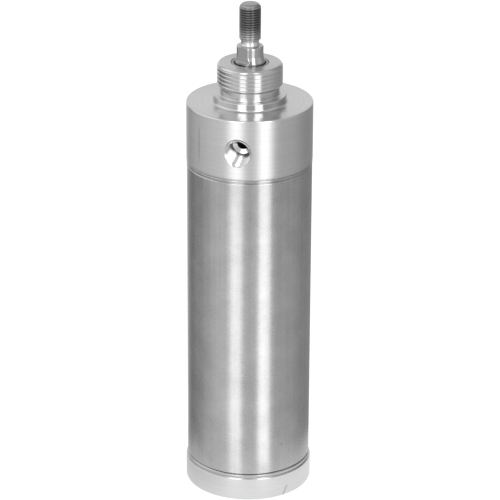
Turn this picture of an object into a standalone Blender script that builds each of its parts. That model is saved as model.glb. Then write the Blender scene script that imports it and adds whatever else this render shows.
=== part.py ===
"""A round-body, double-acting pneumatic cylinder with its piston rod fully retracted.

Every piece is its own object. The axis is +Z, the rod points up, and the origin is the
centre of the rear end face. Everything is in metres.
"""

import math

import bmesh
import bpy
from mathutils import Matrix, Vector

# Driving dimensions.
GAP = 0.0003  # between pieces that touch
BORE_RADIUS = 0.03175
TUBE_WALL = 0.00075
STROKE = 0.1016
ROD_RADIUS = 0.0079375

# Heights along the axis, from the rear end face.
REAR_FLANGE_TOP = 0.0123
REAR_GROOVE = 0.0146
REAR_INNER_FACE = 0.0257
FRONT_GROOVE = 0.1800
FRONT_FLANGE_START = 0.1818
FRONT_PORT_HEIGHT = 0.1964
SHOULDER = 0.2138
PILOT_TOP = 0.2179
NOSE_THREAD_START = 0.2221
NOSE_FACE = 0.2345
WRENCH_FLAT_START = 0.2354
WRENCH_FLAT_END = 0.2435
ROD_THREAD_START = 0.2463
ROD_END = 0.2658

# Heads.
REAR_FLANGE_RADIUS = 0.0333
FRONT_FLANGE_RADIUS = 0.0327
SPIGOT_RADIUS = BORE_RADIUS - GAP
CRIMP_DEPTH = 0.0006
HEAD_SEAL_GROOVE_RADIUS = 0.0291
HEAD_SEAL_GROOVE_WIDTH = 0.0034
PILOT_RADIUS = 0.01905
NOSE_RELIEF_RADIUS = 0.0155
NOSE_THREAD_RADIUS = 0.01696
NOSE_THREAD_PITCH = 0.0254 / 12
NOSE_CHAMFER = 0.0016
SEAL_POCKET_RADIUS = 0.0129
SEAL_POCKET_TOP = 0.1900
SNAP_GROOVE_RADIUS = 0.0137
SNAP_GROOVE_BOTTOM = 0.1791
SNAP_GROOVE_WIDTH = 0.0018
BUSHING_SEAT = 0.1932
BUSHING_RADIUS = 0.0096
BUSHING_BORE_RADIUS = 0.0081

# Ports: a tapered pipe thread's bore, a cone, and a smaller feed hole.
PORT_MOUTH_RADIUS = 0.0076
PORT_BORE_RADIUS = 0.0063
PORT_END_RADIUS = 0.0054
PORT_DEPTH = 0.0148
PORT_CONE_DEPTH = 0.0156
FEED_RADIUS = 0.0032
FEED_END = -0.0138  # where the radial feed hole stops, along Y
DOWN_HOLE_RADIUS = 0.0015
DOWN_HOLE_Y = -0.0156

# Bumpers and piston.
BUMPER_THICKNESS = 0.0030
BUMPER_INNER = 0.0235
BUMPER_OUTER = 0.0290
PISTON_RADIUS = 0.0311
PISTON_REAR = REAR_INNER_FACE + 2 * GAP + BUMPER_THICKNESS
PISTON_LENGTH = 0.0324
PISTON_FRONT = PISTON_REAR + PISTON_LENGTH
FRONT_INNER_FACE = PISTON_FRONT + STROKE + 2 * GAP + BUMPER_THICKNESS
CUP_GROOVE_RADIUS = 0.0262
CUP_GROOVE_WIDTH = 0.0066
PISTON_LAND = 0.0028
WEAR_RING_WIDTH = 0.0088
WEAR_RING_INNER = 0.0289
NUT_POCKET_RADIUS = 0.0130
NUT_POCKET_DEPTH = 0.0090
WASHER_THICKNESS = 0.0015
NUT_ACROSS_FLATS = 0.0174
NUT_THICKNESS = 0.0062
STEM_SEAL_RADIUS = 0.00075  # of its round section

# Piston rod.
STEM_RADIUS = 0.00556
STEM_END = PISTON_REAR + GAP
ROD_SHOULDER = PISTON_FRONT - 0.0037
FLAT_SECTION_RADIUS = 0.0069
HALF_ACROSS_FLATS = 0.0061
FLAT_AZIMUTH = math.radians(-27)  # of one flat's normal, from -Y towards +X
NECK_RADIUS = 0.0046
ROD_THREAD_RADIUS = 0.0056
ROD_THREAD_PITCH = 0.0254 / 20
ROD_TIP_RADIUS = 0.0037

BODY_SEGMENTS = 48
ROD_SEGMENTS = 32
ARC_STEPS = 3
MERGE_DISTANCE = 1e-6
SHARP_ANGLE = math.radians(32)


def clear_scene():
    for old in list(bpy.data.objects):
        bpy.data.objects.remove(old, do_unlink=True)


def metal(name, colour, roughness):
    return surface(name, colour, roughness, 1.0)


def surface(name, colour, roughness, metallic=0.0):
    """A Principled material."""
    material = bpy.data.materials.new(name)
    material.use_nodes = True
    shader = material.node_tree.nodes["Principled BSDF"]
    shader.inputs["Base Color"].default_value = (*colour, 1.0)
    shader.inputs["Roughness"].default_value = roughness
    shader.inputs["Metallic"].default_value = metallic
    return material


def rounded(corners, closed=True):
    """An outline of (radius, height) points from corners, each with an optional third value, its fillet."""
    points = []
    count = len(corners)
    for index, corner in enumerate(corners):
        here = Vector(corner[:2])
        ends = not closed and index in (0, count - 1)
        if len(corner) < 3 or ends:
            points.append(here)
            continue
        before = (Vector(corners[index - 1][:2]) - here).normalized()
        after = (Vector(corners[(index + 1) % count][:2]) - here).normalized()
        half_angle = before.angle(after) / 2
        centre = here + (before + after).normalized() * corner[2] / math.sin(half_angle)
        reach = corner[2] / math.tan(half_angle)
        start = here + before * reach - centre
        end = here + after * reach - centre
        turn = start.angle_signed(end)
        for step in range(ARC_STEPS + 1):
            arm = start.copy()
            arm.rotate(Matrix.Rotation(-turn * step / ARC_STEPS, 2))
            points.append(centre + arm)
    return points


def turn_outline(bm, outline, segments, closed):
    """Spins an outline of (radius, height) points round the Z axis into bm."""
    verts = [bm.verts.new((point[0], 0, point[1])) for point in outline]
    pairs = zip(verts, verts[1:] + verts[:1]) if closed else zip(verts, verts[1:])
    edges = [bm.edges.new(pair) for pair in pairs]
    bmesh.ops.spin(
        bm,
        geom=verts + edges,
        cent=(0, 0, 0),
        axis=(0, 0, 1),
        angle=math.tau,
        steps=segments,
        use_duplicate=False,
    )


def cut_thread(bm, major, pitch, low, high, low_radius, high_radius, segments):
    """A helical thread's surface, from a ring at low to a ring at high, bevelled at both ends."""
    minor = major - 0.6134 * pitch
    profile = [(-0.125, major), (0.125, major), (0.5, minor)]
    turns = math.ceil((high - low) / pitch) + 2
    snap = 0.04 * pitch
    columns = []
    for column in range(segments + 1):
        angle = math.tau * column / segments
        verts = []
        for turn in range(turns):
            for offset, radius in profile:
                height = low + pitch * (turn - 1 + offset + column / segments)
                radius = min(radius, low_radius + height - low, high_radius + high - height)
                if height < low + snap:
                    height, radius = low, low_radius
                if height > high - snap:
                    height, radius = high, high_radius
                place = (radius * math.cos(angle), radius * math.sin(angle), height)
                verts.append(bm.verts.new(place))
        columns.append(verts)
    for left, right in zip(columns, columns[1:]):
        for row in range(len(left) - 1):
            bm.faces.new((left[row], right[row], right[row + 1], left[row + 1]))


def solid(name, bm, material):
    """Closes the mesh in bm into a named object, shaded smooth with sharp edges."""
    bmesh.ops.remove_doubles(bm, verts=bm.verts, dist=MERGE_DISTANCE)
    bmesh.ops.dissolve_degenerate(bm, dist=MERGE_DISTANCE, edges=bm.edges)
    bmesh.ops.recalc_face_normals(bm, faces=bm.faces)
    mesh = bpy.data.meshes.new(name)
    bm.to_mesh(mesh)
    bm.free()
    mesh.shade_smooth()
    mesh.set_sharp_from_angle(angle=SHARP_ANGLE)
    mesh.materials.append(material)
    made = bpy.data.objects.new(name, mesh)
    bpy.context.scene.collection.objects.link(made)
    return made


def turned(name, corners, material, segments=BODY_SEGMENTS, closed=True):
    """A turned solid: a ring from a closed outline, or a bar from one whose ends are on the axis."""
    bm = bmesh.new()
    turn_outline(bm, rounded(corners, closed), segments, closed)
    return solid(name, bm, material)


def cutter(name, bm):
    made = solid(name, bm, surface(name, (0.8, 0.2, 0.2), 0.5))
    made.hide_render = True
    made.display_type = "WIRE"
    return made


def cut(target, tool):
    boolean = target.modifiers.new(tool.name, "BOOLEAN")
    boolean.operation = "DIFFERENCE"
    boolean.solver = "EXACT"
    boolean.object = tool


def seal_ring(name, ring_radius, height, section_radius, material, segments, sides=6):
    """An O-ring: a round section at ring_radius from the axis."""
    section = []
    for side in range(sides):
        angle = math.tau * side / sides
        radius = ring_radius + section_radius * math.cos(angle)
        section.append((radius, height + section_radius * math.sin(angle)))
    return turned(name, section, material, segments)


def lip_seal(name, inner, outer, back, front, material, segments=BODY_SEGMENTS):
    """A U-cup: a flat back with two lips that open towards front."""
    middle = (inner + outer) / 2
    depth = front - back
    lip = 0.2 * (outer - inner)
    section = [
        (inner, back),
        (outer - lip / 2, back),
        (outer, back + 0.75 * depth),
        (outer - lip / 2, front),
        (outer - lip, front),
        (middle, back + 0.45 * depth),
        (inner + lip, front),
        (inner, front),
    ]
    return turned(name, section, material, segments)


def make_tube(material):
    """The stainless tube. Each end is rolled into its head's groove and flares into a short lip."""
    wall = TUBE_WALL
    outer = BORE_RADIUS + wall
    lip = outer + 0.0001
    rear_end = REAR_FLANGE_TOP + GAP
    front_end = FRONT_FLANGE_START - GAP
    corners = [
        (outer, FRONT_GROOVE - 0.0006),
        (outer - CRIMP_DEPTH, FRONT_GROOVE),
        (lip, FRONT_GROOVE + 0.0006),
        (lip, front_end - 0.0004),
        (lip - 0.0004, front_end),
        (BORE_RADIUS, front_end),
        (BORE_RADIUS - CRIMP_DEPTH, FRONT_GROOVE + 0.0002),
        (BORE_RADIUS, FRONT_GROOVE - 0.0010),
        (BORE_RADIUS, REAR_GROOVE + 0.0010),
        (BORE_RADIUS - CRIMP_DEPTH, REAR_GROOVE - 0.0002),
        (BORE_RADIUS, rear_end),
        (lip - 0.0004, rear_end),
        (lip, rear_end + 0.0004),
        (lip, REAR_GROOVE - 0.0006),
        (outer - CRIMP_DEPTH, REAR_GROOVE),
        (outer, REAR_GROOVE + 0.0006),
    ]
    return turned("barrel_tube", corners, material)


def seal_groove(middle):
    """The four corners of a head's O-ring groove, in rising order."""
    low = middle - HEAD_SEAL_GROOVE_WIDTH / 2
    high = middle + HEAD_SEAL_GROOVE_WIDTH / 2
    return [
        (SPIGOT_RADIUS, low),
        (HEAD_SEAL_GROOVE_RADIUS, low),
        (HEAD_SEAL_GROOVE_RADIUS, high),
        (SPIGOT_RADIUS, high),
    ]


def port_corners():
    """A port's outline as (radius, depth) points, from its mouth to its feed hole."""
    return [
        (PORT_MOUTH_RADIUS, 0),
        (PORT_BORE_RADIUS, PORT_MOUTH_RADIUS - PORT_BORE_RADIUS),
        (PORT_END_RADIUS, PORT_DEPTH),
        (FEED_RADIUS, PORT_CONE_DEPTH),
    ]


def make_rear_head(material):
    """The rear head, with a pipe port through its middle."""
    flange = REAR_FLANGE_RADIUS
    waist = SPIGOT_RADIUS - CRIMP_DEPTH
    corners = [
        (flange, 0, 0.0008),
        (flange, REAR_FLANGE_TOP, 0.0003),
        (SPIGOT_RADIUS, REAR_FLANGE_TOP),
        (waist, REAR_GROOVE - 0.0010),
        (waist, REAR_GROOVE + 0.0006),
        (SPIGOT_RADIUS, REAR_GROOVE + 0.0014),
        *seal_groove((REAR_GROOVE + REAR_INNER_FACE) / 2 + 0.0004),
        (SPIGOT_RADIUS, REAR_INNER_FACE - 0.0005),
        (SPIGOT_RADIUS - 0.0005, REAR_INNER_FACE),
        (FEED_RADIUS, REAR_INNER_FACE),
    ]
    corners += [(radius, depth) for radius, depth in reversed(port_corners())]
    return turned("rear_head", corners, material)


def make_front_head(material):
    """The front head: spigot, flange with its port, pilot, and the threaded nose that it mounts by."""
    flange = FRONT_FLANGE_RADIUS
    waist = SPIGOT_RADIUS - CRIMP_DEPTH
    bushing_hole = BUSHING_RADIUS + GAP
    snap_top = SNAP_GROOVE_BOTTOM + SNAP_GROOVE_WIDTH
    thread_top_radius = NOSE_THREAD_RADIUS - NOSE_CHAMFER
    corners = [
        (thread_top_radius, NOSE_FACE),
        (bushing_hole, NOSE_FACE),
        (bushing_hole, BUSHING_SEAT),
        (BUSHING_BORE_RADIUS + GAP, BUSHING_SEAT),
        (BUSHING_BORE_RADIUS + GAP, SEAL_POCKET_TOP),
        (SEAL_POCKET_RADIUS, SEAL_POCKET_TOP),
        (SEAL_POCKET_RADIUS, snap_top),
        (SNAP_GROOVE_RADIUS, snap_top),
        (SNAP_GROOVE_RADIUS, SNAP_GROOVE_BOTTOM),
        (SEAL_POCKET_RADIUS, SNAP_GROOVE_BOTTOM),
        (SEAL_POCKET_RADIUS, FRONT_INNER_FACE),
        (SPIGOT_RADIUS - 0.0005, FRONT_INNER_FACE),
        (SPIGOT_RADIUS, FRONT_INNER_FACE + 0.0005),
        *seal_groove((FRONT_GROOVE + FRONT_INNER_FACE) / 2 - 0.0004),
        (SPIGOT_RADIUS, FRONT_GROOVE - 0.0014),
        (waist, FRONT_GROOVE - 0.0006),
        (waist, FRONT_GROOVE + 0.0010),
        (SPIGOT_RADIUS, FRONT_FLANGE_START),
        (flange, FRONT_FLANGE_START, 0.0008),
        (flange, SHOULDER, 0.0007),
        (PILOT_RADIUS, SHOULDER, 0.0010),
        (PILOT_RADIUS, PILOT_TOP, 0.0005),
        (NOSE_RELIEF_RADIUS, PILOT_TOP),
        (NOSE_RELIEF_RADIUS, NOSE_THREAD_START),
    ]
    bm = bmesh.new()
    turn_outline(bm, rounded(corners, closed=False), BODY_SEGMENTS, closed=False)
    cut_thread(
        bm,
        NOSE_THREAD_RADIUS,
        NOSE_THREAD_PITCH,
        NOSE_THREAD_START,
        NOSE_FACE,
        NOSE_RELIEF_RADIUS,
        thread_top_radius,
        BODY_SEGMENTS,
    )
    head = solid("front_head", bm, material)
    cut(head, port_cutter())
    cut(head, down_hole_cutter())
    return head


def port_cutter():
    """The front port: its tapered bore and its feed hole, along Y into the flange."""
    mouth_y = -FRONT_FLANGE_RADIUS
    outline = [(0, -0.002), (PORT_MOUTH_RADIUS + 0.002, -0.002)]
    outline += port_corners()
    outline += [(FEED_RADIUS, FEED_END - mouth_y), (0, FEED_END - mouth_y)]
    bm = bmesh.new()
    turn_outline(bm, outline, ROD_SEGMENTS, closed=False)
    inwards = Matrix.Rotation(math.radians(-90), 4, "X")
    place = Matrix.Translation((0, mouth_y, FRONT_PORT_HEIGHT))
    bmesh.ops.transform(bm, matrix=place @ inwards, verts=bm.verts)
    return cutter("front_port_cutter", bm)


def down_hole_cutter():
    """The hole from the front port's feed hole down into the tube."""
    low = FRONT_INNER_FACE - 0.002
    bm = bmesh.new()
    bmesh.ops.create_cone(
        bm,
        cap_ends=True,
        segments=16,
        radius1=DOWN_HOLE_RADIUS,
        radius2=DOWN_HOLE_RADIUS,
        depth=FRONT_PORT_HEIGHT - low,
        matrix=Matrix.Translation((0, DOWN_HOLE_Y, (FRONT_PORT_HEIGHT + low) / 2)),
    )
    return cutter("front_down_hole_cutter", bm)


def make_bushing(material):
    top = NOSE_FACE - 0.0001
    corners = [
        (BUSHING_RADIUS, top - 0.0003),
        (BUSHING_RADIUS - 0.0003, top),
        (BUSHING_BORE_RADIUS + 0.0005, top),
        (BUSHING_BORE_RADIUS, top - 0.0005),
        (BUSHING_BORE_RADIUS, BUSHING_SEAT + GAP),
        (BUSHING_RADIUS, BUSHING_SEAT + GAP),
    ]
    return turned("rod_bushing", corners, material, ROD_SEGMENTS)


def make_rod_seal_stack(rubber, steel):
    """The rod's U-cup, its backing washer, and the internal retaining ring that holds both."""
    seal_top = SEAL_POCKET_TOP - GAP
    seal_bottom = seal_top - 0.0066
    washer_top = seal_bottom - GAP
    washer_bottom = washer_top - 0.0018
    outer = SEAL_POCKET_RADIUS - GAP
    # The lips face down, towards the pressure, so the flat back is at the top.
    lip_seal("rod_seal", ROD_RADIUS + GAP, outer, seal_top, seal_bottom, rubber, ROD_SEGMENTS)
    washer = [
        (outer, washer_bottom),
        (outer, washer_top),
        (ROD_RADIUS + 0.0006, washer_top),
        (ROD_RADIUS + 0.0006, washer_bottom),
    ]
    turned("rod_seal_washer", washer, steel, ROD_SEGMENTS)
    make_retaining_ring(steel)


def make_retaining_ring(steel):
    """An internal retaining ring: an open C with two round ears that plier tips fit."""
    low = SNAP_GROOVE_BOTTOM + GAP
    high = SNAP_GROOVE_BOTTOM + SNAP_GROOVE_WIDTH - GAP
    outer = SNAP_GROOVE_RADIUS - GAP
    inner = outer - 0.0022
    opening = math.radians(28)
    steps = 30
    bm = bmesh.new()
    rims = ([], [])
    for step in range(steps + 1):
        angle = opening / 2 + (math.tau - opening) * step / steps
        direction = Vector((math.cos(angle), math.sin(angle), 0))
        # The last two steps at each end widen inwards into an ear.
        ear = 0.0014 if min(step, steps - step) < 2 else 0.0
        rims[0].append(direction * outer)
        rims[1].append(direction * (inner - ear))
    border = [bm.verts.new((point.x, point.y, low)) for point in rims[0] + rims[1][::-1]]
    face = bm.faces.new(border)
    lifted = bmesh.ops.extrude_face_region(bm, geom=[face])
    raised = [item for item in lifted["geom"] if isinstance(item, bmesh.types.BMVert)]
    bmesh.ops.translate(bm, verts=raised, vec=(0, 0, high - low))
    return solid("rod_seal_retaining_ring", bm, steel)


def make_bumper(name, low, material):
    high = low + BUMPER_THICKNESS
    corners = [(BUMPER_OUTER, low), (BUMPER_OUTER, high), (BUMPER_INNER, high), (BUMPER_INNER, low)]
    return turned(name, corners, material)


def make_piston_half(name, face, inwards, pocket, stem_groove, material):
    """One half of the piston. face is its outer end's height, inwards is +1 or -1 towards the other half."""
    middle = (PISTON_REAR + PISTON_FRONT) / 2
    inner_end = middle - inwards * GAP / 2
    groove_start = face + inwards * PISTON_LAND
    groove_end = groove_start + inwards * CUP_GROOVE_WIDTH
    step = middle - inwards * (WEAR_RING_WIDTH / 2 + GAP)
    hole = STEM_RADIUS + GAP
    pocket_radius, pocket_depth = pocket
    corners = [
        (pocket_radius, face),
        (PISTON_RADIUS, face),
        (PISTON_RADIUS, groove_start),
        (CUP_GROOVE_RADIUS, groove_start),
        (CUP_GROOVE_RADIUS, groove_end),
        (PISTON_RADIUS, groove_end),
        (PISTON_RADIUS, step),
        (WEAR_RING_INNER - GAP, step),
        (WEAR_RING_INNER - GAP, inner_end),
        (hole, inner_end),
        *stem_groove,
        (hole, face + inwards * pocket_depth),
        (pocket_radius, face + inwards * pocket_depth),
    ]
    return turned(name, corners, material)


def stem_groove_corners(middle):
    """The O-ring groove in the front half's bore, in rising order."""
    hole = STEM_RADIUS + GAP
    depth = 2 * STEM_SEAL_RADIUS + GAP
    half_width = STEM_SEAL_RADIUS + GAP
    return [
        (hole, middle - half_width),
        (hole + depth, middle - half_width),
        (hole + depth, middle + half_width),
        (hole, middle + half_width),
    ]


def make_piston(aluminium, rubber, plastic):
    """Two halves on the rod's stem, with a U-cup in each and a wear ring clamped between them."""
    rod_pocket = (ROD_RADIUS + GAP, PISTON_FRONT - ROD_SHOULDER + GAP)
    nut_pocket = (NUT_POCKET_RADIUS, NUT_POCKET_DEPTH)
    stem_seal = ROD_SHOULDER - 0.0040
    groove = stem_groove_corners(stem_seal)
    make_piston_half("piston_front_half", PISTON_FRONT, -1, rod_pocket, groove, aluminium)
    make_piston_half("piston_rear_half", PISTON_REAR, 1, nut_pocket, [], aluminium)
    seal_centre = STEM_RADIUS + GAP + STEM_SEAL_RADIUS
    seal_ring("piston_o_ring", seal_centre, stem_seal, STEM_SEAL_RADIUS, rubber, 24)
    near = PISTON_LAND + CUP_GROOVE_WIDTH - GAP
    far = PISTON_LAND + GAP
    inner = CUP_GROOVE_RADIUS + GAP
    lip_seal("piston_cup_front", inner, SPIGOT_RADIUS, PISTON_FRONT - near, PISTON_FRONT - far, rubber)
    lip_seal("piston_cup_rear", inner, SPIGOT_RADIUS, PISTON_REAR + near, PISTON_REAR + far, rubber)
    middle = (PISTON_REAR + PISTON_FRONT) / 2
    low = middle - WEAR_RING_WIDTH / 2
    high = middle + WEAR_RING_WIDTH / 2
    ring = [(SPIGOT_RADIUS, low), (SPIGOT_RADIUS, high), (WEAR_RING_INNER, high), (WEAR_RING_INNER, low)]
    turned("piston_wear_ring", ring, plastic)


def make_piston_fasteners(steel):
    """The washer and the lock nut on the rod's stem, inside the rear half's pocket."""
    top = PISTON_REAR + NUT_POCKET_DEPTH - GAP
    low = top - WASHER_THICKNESS
    hole = STEM_RADIUS + GAP
    outer = NUT_POCKET_RADIUS - 0.0006
    washer = [(outer, low), (outer, top), (hole, top), (hole, low)]
    turned("piston_washer", washer, steel, ROD_SEGMENTS)
    nut_top = low - GAP
    bm = bmesh.new()
    bmesh.ops.create_cone(
        bm,
        cap_ends=True,
        segments=6,
        radius1=NUT_ACROSS_FLATS / math.sqrt(3),
        radius2=NUT_ACROSS_FLATS / math.sqrt(3),
        depth=NUT_THICKNESS,
        matrix=Matrix.Translation((0, 0, nut_top - NUT_THICKNESS / 2)),
    )
    nut = solid("piston_lock_nut", bm, steel)
    bm = bmesh.new()
    outline = [(0, -0.001), (hole, -0.001), (hole, NUT_THICKNESS + 0.001), (0, NUT_THICKNESS + 0.001)]
    turn_outline(bm, outline, 24, closed=False)
    bmesh.ops.translate(bm, verts=bm.verts, vec=(0, 0, nut_top - NUT_THICKNESS))
    cut(nut, cutter("nut_hole_cutter", bm))


def make_rod(material):
    """The piston rod: a stem for the piston, the chromed rod, two wrench flats, a neck and a thread."""
    run_out = [(ROD_RADIUS, WRENCH_FLAT_START - 0.0005)]
    for step in range(1, 5):
        share = step / 4
        radius = ROD_RADIUS - (ROD_RADIUS - FLAT_SECTION_RADIUS) * math.sin(share * math.pi / 2)
        run_out.append((radius, WRENCH_FLAT_START - 0.0005 + 0.0040 * share))
    below = [
        (0, STEM_END),
        (STEM_RADIUS - 0.0007, STEM_END),
        (STEM_RADIUS, STEM_END + 0.0007),
        (STEM_RADIUS, ROD_SHOULDER),
        (ROD_RADIUS, ROD_SHOULDER),
        *run_out,
        (FLAT_SECTION_RADIUS, WRENCH_FLAT_END, 0.0008),
        (NECK_RADIUS, WRENCH_FLAT_END + 0.0004, 0.0009),
        (NECK_RADIUS, ROD_THREAD_START),
    ]
    above = [(ROD_TIP_RADIUS, ROD_END), (0, ROD_END)]
    bm = bmesh.new()
    turn_outline(bm, rounded(below, closed=False), ROD_SEGMENTS, closed=False)
    cut_thread(
        bm,
        ROD_THREAD_RADIUS,
        ROD_THREAD_PITCH,
        ROD_THREAD_START,
        ROD_END,
        NECK_RADIUS,
        ROD_TIP_RADIUS,
        ROD_SEGMENTS,
    )
    turn_outline(bm, above, ROD_SEGMENTS, closed=False)
    rod = solid("piston_rod", bm, material)
    for index in range(2):
        cut(rod, flat_cutter(index))
    return rod


def flat_cutter(index):
    """What the mill removes for one wrench flat, with its curved run-out at the bottom."""
    reach = 0.010
    run_out = 0.0030
    section = [(reach, WRENCH_FLAT_END + 0.001), (HALF_ACROSS_FLATS, WRENCH_FLAT_END + 0.001)]
    for step in range(5):
        turn = math.pi / 2 * step / 6
        out = HALF_ACROSS_FLATS + run_out * (1 - math.cos(turn))
        section.append((out, WRENCH_FLAT_START + run_out * (1 - math.sin(turn))))
    section.append((reach, section[-1][1]))
    bm = bmesh.new()
    face = bm.faces.new([bm.verts.new((-reach, -out, height)) for out, height in section])
    swept = bmesh.ops.extrude_face_region(bm, geom=[face])
    moved = [item for item in swept["geom"] if isinstance(item, bmesh.types.BMVert)]
    bmesh.ops.translate(bm, verts=moved, vec=(2 * reach, 0, 0))
    turn = Matrix.Rotation(FLAT_AZIMUTH + math.pi * index, 4, "Z")
    bmesh.ops.transform(bm, matrix=turn, verts=bm.verts)
    return cutter(f"wrench_flat_cutter_{index + 1}", bm)


def main():
    clear_scene()
    stainless = metal("stainless_steel", (0.62, 0.62, 0.61), 0.3)
    head_aluminium = metal("head_aluminium", (0.80, 0.80, 0.80), 0.25)
    piston_aluminium = metal("piston_aluminium", (0.72, 0.73, 0.74), 0.35)
    chrome = metal("chromed_steel", (0.60, 0.60, 0.60), 0.12)
    bronze = metal("sintered_bronze", (0.46, 0.38, 0.28), 0.45)
    zinc = metal("zinc_plated_steel", (0.70, 0.71, 0.72), 0.3)
    spring_steel = metal("spring_steel", (0.20, 0.20, 0.21), 0.4)
    rubber = surface("nitrile_rubber", (0.03, 0.03, 0.03), 0.6)
    urethane = surface("urethane", (0.10, 0.16, 0.20), 0.5)
    plastic = surface("wear_ring_plastic", (0.62, 0.60, 0.54), 0.5)

    make_tube(stainless)
    make_front_head(head_aluminium)
    make_rear_head(head_aluminium)
    make_bushing(bronze)
    make_rod_seal_stack(rubber, spring_steel)
    front_seal = (FRONT_GROOVE + FRONT_INNER_FACE) / 2 - 0.0004
    rear_seal = (REAR_GROOVE + REAR_INNER_FACE) / 2 + 0.0004
    section_radius = (SPIGOT_RADIUS - HEAD_SEAL_GROOVE_RADIUS - GAP) / 2
    ring_radius = SPIGOT_RADIUS - section_radius
    seal_ring("front_head_o_ring", ring_radius, front_seal, section_radius, rubber, BODY_SEGMENTS)
    seal_ring("rear_head_o_ring", ring_radius, rear_seal, section_radius, rubber, BODY_SEGMENTS)
    make_bumper("rear_bumper", REAR_INNER_FACE + GAP, urethane)
    make_bumper("front_bumper", FRONT_INNER_FACE - GAP - BUMPER_THICKNESS, urethane)
    make_piston(piston_aluminium, rubber, plastic)
    make_piston_fasteners(zinc)
    make_rod(chrome)


main()
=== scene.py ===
"""The looks of a round-body pneumatic cylinder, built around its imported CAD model.

The cylinder stands on its rear head with its axis on +Z. Everything is in metres, in the CAD
model's frame. The visible pieces are turned again here with finer edges and real threads.
"""

import math

import bmesh
import bpy
from mathutils import Matrix, Vector


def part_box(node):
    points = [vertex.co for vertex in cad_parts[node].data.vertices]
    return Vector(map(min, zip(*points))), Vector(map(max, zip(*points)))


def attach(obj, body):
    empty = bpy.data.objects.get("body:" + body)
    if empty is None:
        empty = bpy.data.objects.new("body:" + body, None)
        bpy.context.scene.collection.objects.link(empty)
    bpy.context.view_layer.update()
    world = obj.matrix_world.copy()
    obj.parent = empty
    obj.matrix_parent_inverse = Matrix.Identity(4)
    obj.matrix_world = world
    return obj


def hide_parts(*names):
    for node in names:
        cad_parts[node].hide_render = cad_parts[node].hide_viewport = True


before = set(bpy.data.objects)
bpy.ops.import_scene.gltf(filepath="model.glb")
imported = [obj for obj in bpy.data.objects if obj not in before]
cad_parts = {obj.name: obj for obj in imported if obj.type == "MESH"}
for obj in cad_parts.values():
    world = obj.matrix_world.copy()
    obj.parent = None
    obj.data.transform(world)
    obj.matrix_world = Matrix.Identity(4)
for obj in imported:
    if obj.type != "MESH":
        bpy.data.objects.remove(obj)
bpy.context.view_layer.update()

# Heights and radii that the CAD model sets.
_, FRONT_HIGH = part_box("front_head")
_, REAR_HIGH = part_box("rear_head")
BUSHING_LOW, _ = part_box("rod_bushing")
ROD_LOW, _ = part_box("piston_rod")

GAP = 0.0003
TUBE_RADIUS = 0.0325
BORE_RADIUS = 0.03175
SPIGOT_RADIUS = BORE_RADIUS - GAP
REAR_FLANGE_RADIUS = REAR_HIGH.x
FRONT_FLANGE_RADIUS = FRONT_HIGH.x
REAR_INNER_FACE = 0.0257
FRONT_INNER_FACE = 0.1669
NOSE_FACE = 0.2345
NOSE_CHAMFER = 0.0016
SHOULDER = 0.2138
PILOT_TOP = 0.2179
PILOT_RADIUS = 0.01905
RELIEF_RADIUS = 0.0155
NOSE_THREAD_START = 0.2221
NOSE_THREAD_RADIUS = 0.01696
NOSE_THREAD_PITCH = 0.0254 / 12
REAR_FLANGE_TOP = 0.0123
FRONT_FLANGE_START = 0.1818
TUBE_BOTTOM = REAR_FLANGE_TOP + GAP
TUBE_TOP = FRONT_FLANGE_START - GAP
REAR_GROOVE = 0.0146
FRONT_GROOVE = 0.1800
CRIMP_DEPTH = 0.0006
HEAD_SEAL_GROOVE_RADIUS = 0.0291
HEAD_SEAL_GROOVE_WIDTH = 0.0034

PORT_HEIGHT = 0.1964
PORT_MOUTH_RADIUS = 0.0076
PORT_BORE_RADIUS = 0.0060
PORT_END_RADIUS = 0.0054
PORT_DEPTH = 0.0148
PORT_CONE_DEPTH = 0.0156
PORT_THREAD_PITCH = 0.0254 / 18
PORT_THREAD_DEPTH = 0.0010
FEED_RADIUS = 0.0032
FEED_END = -0.0138
PORT_INNER_LIMIT = -0.010
DOWN_HOLE_RADIUS = 0.0015
DOWN_HOLE_Y = -0.0156

SEAL_POCKET_RADIUS = 0.0129
SEAL_POCKET_TOP = 0.1900
SNAP_GROOVE_RADIUS = 0.0137
SNAP_GROOVE_BOTTOM = 0.1791
SNAP_GROOVE_WIDTH = 0.0018
BUSHING_SEAT = BUSHING_LOW.z - GAP
BUSHING_TOP = NOSE_FACE - 0.0001
BUSHING_RADIUS = 0.0096
BUSHING_BORE_RADIUS = 0.0081

STEM_RADIUS = 0.00556
ROD_SHOULDER = 0.0580
ROD_RADIUS = 0.0079375
FLAT_START = 0.2354
FLAT_END = 0.2435
FLAT_SECTION_RADIUS = 0.0069
HALF_ACROSS_FLATS = 0.0061
FLAT_AZIMUTH = math.radians(-27)
FLAT_RUN_OUT = 0.0014
FLAT_TAPER = 0.0035
FLAT_TAPER_STEPS = 8
NECK_RADIUS = 0.0046
ROD_THREAD_START = 0.2463
ROD_THREAD_RADIUS = 0.0056
ROD_THREAD_PITCH = 0.0254 / 20
ROD_TIP_RADIUS = 0.0037
ROD_END = 0.2658

# Marks on the aluminium: a thin upright line on the front head, and a slanted scuff on the rear head.
# MARK_CORE is half the width over which each is at full strength.
LINE_X = -0.0214
LINE_LOW = 0.184
LINE_HIGH = 0.209
SCUFF_X = 0.0233
SCUFF_SLANT = 0.35
SCUFF_TOP = 0.0062
MARK_CORE = 0.0001
BUMP_DISTANCE = 0.00002
QUARTER_TURN = 0.25

BODY_SEGMENTS = 256
ROD_SEGMENTS = 160
ARC_STEPS = 6
MERGE_DISTANCE = 1e-7
SHARP_ANGLE = math.radians(35)

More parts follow.
